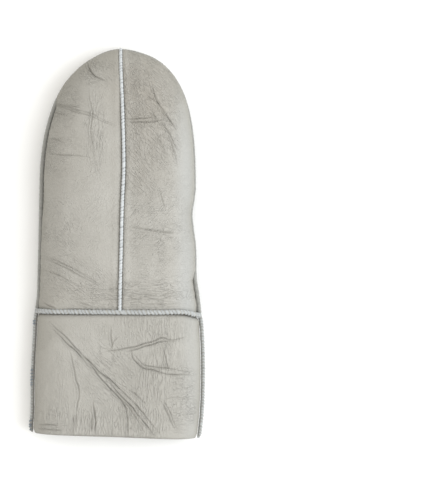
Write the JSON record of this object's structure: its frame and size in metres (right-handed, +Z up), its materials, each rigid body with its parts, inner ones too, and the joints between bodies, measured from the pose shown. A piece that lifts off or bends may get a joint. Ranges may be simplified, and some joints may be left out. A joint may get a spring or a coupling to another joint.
{
  "type": "leather mitten",
  "caption": "Left mitten of light grey double-face sheepskin, leather outside and fleece inside, with overcast seams and a long cuff.",
  "frame": {"origin": "the table's surface under the middle of the mitten's bounding box", "axes": "+X to the thumb's side, +Y to the finger tips, +Z up from the table through the back of the hand"},
  "size_m": [0.1254, 0.2784, 0.0452],
  "materials": {
    "leather": "fine-grained nappa side of sheepskin, satin",
    "thread": "overcast pale thread and skin edges with fleece"
  },
  "bodies": {
    "root": {"back_left": "leather", "back_right": "leather", "palm": "leather", "cuff_back": "leather", "cuff_palm": "leather", "thumb_inner": "leather", "thumb_outer": "leather", "thumb_seam": "thread", "thumb_base_seam": "thread", "centre_seam": "thread", "side_seam": "thread", "cuff_left_seam": "thread", "cuff_right_seam": "thread", "cuff_seam": "thread"}
  },
  "joints": []
}
